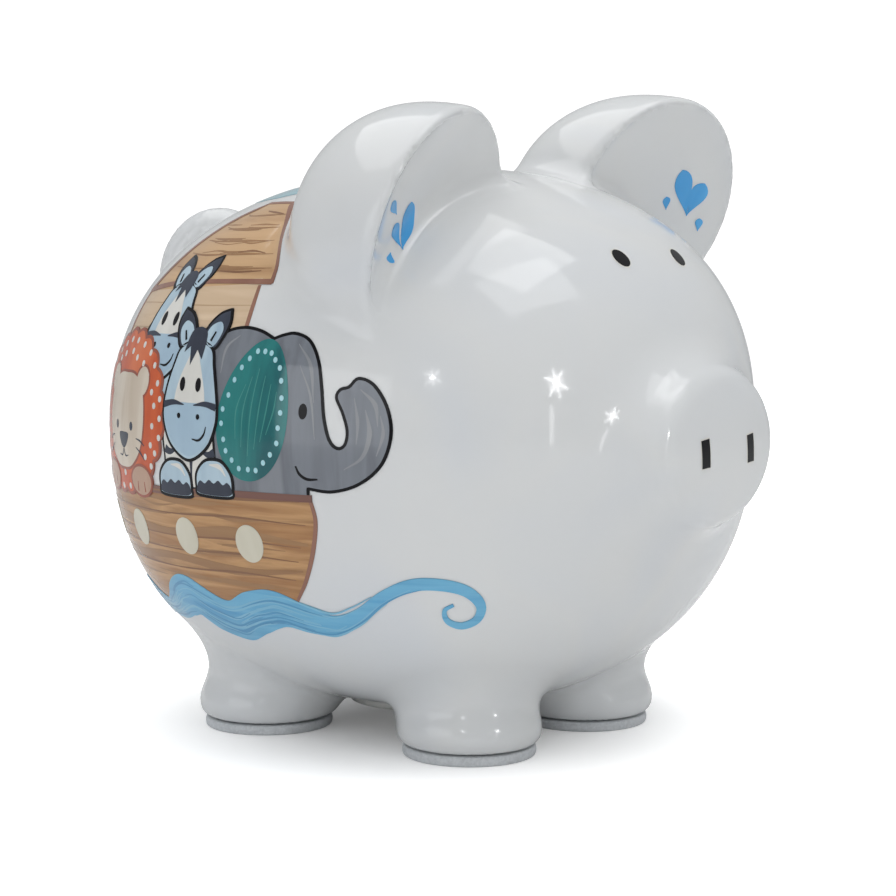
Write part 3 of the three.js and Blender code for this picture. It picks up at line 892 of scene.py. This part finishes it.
def petal(tip, end, width, bend=(0, 0)):
    """A brush dab, pointed at its tip and round at its end. `bend` moves its middle."""
    widths = [width * math.sin(math.pi * share**1.9) ** 0.65 for share in np.linspace(0, 1, 25)[1:-1]]
    middle = ((tip[0] + end[0]) / 2 + bend[0], (tip[1] + end[1]) / 2 + bend[1])
    return stroke([tip, middle, end], (0.2, *widths, 0.2), 0.3)


def ear_hearts():
    left = [petal((16.5, 12.6), (0.8, 18.0), 6.8), petal((16.3, 12.8), (10.6, 23.0), 6.6),
            petal((9.2, 7.0), (5.4, 9.2), 3.0), petal((23.6, 13.4), (20.4, 16.2), 2.8)]
    right = [petal((12.8, 4.5), (1.6, 11.4), 6.2, (-1.6, -0.9)),
             petal((12.6, 4.7), (11.2, 12.4), 4.4, (-0.4, 0.2)),
             petal((9.8, 15.4), (11.9, 23.2), 3.2), petal((16.6, 6.8), (19.0, 5.6), 2.6)]
    paint("left_ear_heart", left, AZURE, 5, in_ear(LEFT))
    paint("right_ear_heart", right, AZURE, 5, in_ear(RIGHT))


def back_swoosh():
    sweep = stroke([(-24, 44), (-33, 34), (-38.5, 22), (-40.5, 10), (-38, -2)], (1, 7, 11, 11, 7, 1))
    paint("back_swoosh", [sweep], MIST, 1, on_back)


face_marks()
ear_hearts()
back_swoosh()

# ----- camera, floor and light -----
CAMERA = dict(azimuth=-52.0, elevation=5.3, distance=707.0, aim_z=86.3, aside=6.0, focal=90.44,
              sensor=36)  # in millimetres, and the studio round it in metres
PIG_MIDDLE = Vector((0, -0.01, 0.09))
FLOOR = dict(half=6, white=0.9, glow_z=0.00005)
# How the camera-only floor glow rises with distance from the pig, in metres: it stays dim near the pig,
# which paints a shadow round it.
PAINTED_SHADOW_FADE = (("From Min", 0.02), ("From Max", 0.14), ("To Min", 0.1), ("To Max", 0.75))
BACKDROP = dict(distance=1.6, height=6, glow=1.1)
ROOM_LIGHT = dict(colour=(0.96, 0.985, 1, 1), strength=0.45)
LAMP = dict(core=(0.035, 0.035), halo=(0.16, 0.14), ray=(0.016, 0.24), rolls=(8, -38, 62))


def direction(azimuth, elevation):
    """Towards a place seen from the pig: azimuth 0 is in front of the nose, -90 is to its right."""
    azimuth, elevation = math.radians(azimuth), math.radians(elevation)
    return Vector((math.sin(azimuth) * math.cos(elevation), -math.cos(azimuth) * math.cos(elevation),
                   math.sin(elevation)))


def set_camera():
    back = direction(CAMERA["azimuth"], CAMERA["elevation"])
    turn = math.radians(CAMERA["azimuth"])
    right = Vector((math.cos(turn), math.sin(turn), 0))
    aim = Vector((0, BODY["y"], CAMERA["aim_z"])) + right * CAMERA["aside"]
    data = bpy.data.cameras.new("camera")
    data.sensor_width = CAMERA["sensor"]
    data.lens = CAMERA["focal"]
    data.clip_start = 0.01
    camera = bpy.data.objects.new("camera", data)
    camera.location = (aim + back * CAMERA["distance"]) * MM
    camera.rotation_mode = "QUATERNION"
    camera.rotation_quaternion = (-back).to_track_quat("-Z", "Y")
    bpy.context.scene.collection.objects.link(camera)
    bpy.context.scene.camera = camera


def stage_plane(name, corners, material, camera_only=False):
    """A flat card of the studio."""
    mesh = bpy.data.meshes.new(name)
    mesh.from_pydata(corners, [], [(0, 1, 2, 3)])
    plane = bpy.data.objects.new(name, mesh)
    bpy.context.scene.collection.objects.link(plane)
    mesh.materials.append(material)
    if camera_only:
        plane.visible_diffuse = plane.visible_glossy = False
        plane.visible_shadow = plane.visible_transmission = False


def flat_corners(half, z):
    return [(-half, -half, z), (half, -half, z), (half, half, z), (-half, half, z)]


def pale_floor():
    """A white floor, with a camera-only glow over it that brightens it outside the pig's shadow. The glow
    fades towards the pig, so the darker pool round it is real shadow deepened by a painted shadow.
    """
    white = shader("pale_floor", (FLOOR["white"],) * 3, 0.7)
    stage_plane("floor", flat_corners(FLOOR["half"], 0), white)
    floor_glow = bpy.data.materials.new("floor_glow_with_painted_shadow")
    floor_glow.use_nodes = True
    tree = floor_glow.node_tree
    tree.nodes.remove(tree.nodes["Principled BSDF"])
    place = tree.nodes.new("ShaderNodeTexCoord")
    away = tree.nodes.new("ShaderNodeVectorMath")
    away.operation = "LENGTH"
    # The glow is weak near the pig and strong far from it: a painted shadow under and round the pig.
    glow = tree.nodes.new("ShaderNodeMapRange")
    glow.interpolation_type = "SMOOTHSTEP"
    for socket, value in PAINTED_SHADOW_FADE:
        glow.inputs[socket].default_value = value
    light = tree.nodes.new("ShaderNodeEmission")
    clear = tree.nodes.new("ShaderNodeBsdfTransparent")
    both = tree.nodes.new("ShaderNodeAddShader")
    tree.links.new(place.outputs["Object"], away.inputs[0])
    tree.links.new(away.outputs["Value"], glow.inputs["Value"])
    tree.links.new(glow.outputs["Result"], light.inputs["Strength"])
    tree.links.new(light.outputs["Emission"], both.inputs[0])
    tree.links.new(clear.outputs["BSDF"], both.inputs[1])
    tree.links.new(both.outputs["Shader"], tree.nodes["Material Output"].inputs["Surface"])
    stage_plane("floor_glow", flat_corners(FLOOR["half"], FLOOR["glow_z"]), floor_glow, camera_only=True)


def white_backdrop():
    """Four bright cards round the pig that only the camera sees."""
    material = shader("backdrop_white", (0, 0, 0), 1.0, Emission_Color=(1, 1, 1, 1),
                      Emission_Strength=BACKDROP["glow"])
    up = Vector((0, 0, BACKDROP["height"]))
    for number in range(4):
        away = -direction(CAMERA["azimuth"] + 90 * number, 0) * BACKDROP["distance"]
        side = Vector((-away.y, away.x, 0))
        corners = [away - side, away + side, away + side + up, away - side + up]
        stage_plane(f"backdrop_{number}", corners, material, camera_only=True)


def area_light(name, azimuth, elevation, distance, size, watts, roll=0.0, colour=(1, 1, 1)):
    """A rectangular light that faces the pig, turned about its own axis by `roll` degrees."""
    data = bpy.data.lights.new(name, "AREA")
    data.shape = "RECTANGLE"
    data.size, data.size_y = size
    data.energy = watts
    data.color = colour
    light = bpy.data.objects.new(name, data)
    towards = direction(azimuth, elevation)
    light.location = PIG_MIDDLE + towards * distance
    light.rotation_mode = "QUATERNION"
    spin = Quaternion((0, 0, 1), math.radians(roll))
    light.rotation_quaternion = (-towards).to_track_quat("-Z", "Y") @ spin
    bpy.context.scene.collection.objects.link(light)


def room_light():
    """A cool light from everywhere, shown without any film look."""
    world = bpy.data.worlds.new("studio")
    bpy.context.scene.world = world
    world.use_nodes = True
    background = world.node_tree.nodes["Background"]
    background.inputs["Color"].default_value = ROOM_LIGHT["colour"]
    background.inputs["Strength"].default_value = ROOM_LIGHT["strength"]
    bpy.context.scene.view_settings.view_transform = "Standard"


def star_lamp(name, azimuth, elevation, distance, watts):
    """A small lamp whose reflection is a star: a bright core, a halo and three narrow rays."""
    area_light(name, azimuth, elevation, distance, LAMP["core"], watts)
    area_light(name + "_halo", azimuth, elevation, distance + 0.03, LAMP["halo"], watts)
    for count, roll in enumerate(LAMP["rolls"]):
        ray = f"{name}_ray_{count}"
        area_light(ray, azimuth, elevation, distance + 0.01, LAMP["ray"], watts / 2, roll)


set_camera()
pale_floor()
white_backdrop()
room_light()
area_light("overhead", -170, 72, 1.3, (1.3, 1.3), 6.5)
area_light("window", 22, 70, 1.0, (0.6, 0.42), 1.5)
area_light("low_window", 0, 58, 1.0, (0.6, 0.4), 1.2)
area_light("fill", -100, 5, 1.2, (0.9, 0.6), 2.2, colour=(0.97, 0.98, 1.0))
star_lamp("near_lamp", -7.7, 13.8, 1.2, 0.3)
star_lamp("far_lamp", -62.5, 18.4, 1.4, 0.12)
area_light("leg_strip", -11.5, 1.0, 0.9, (0.03, 0.16), 0.06)
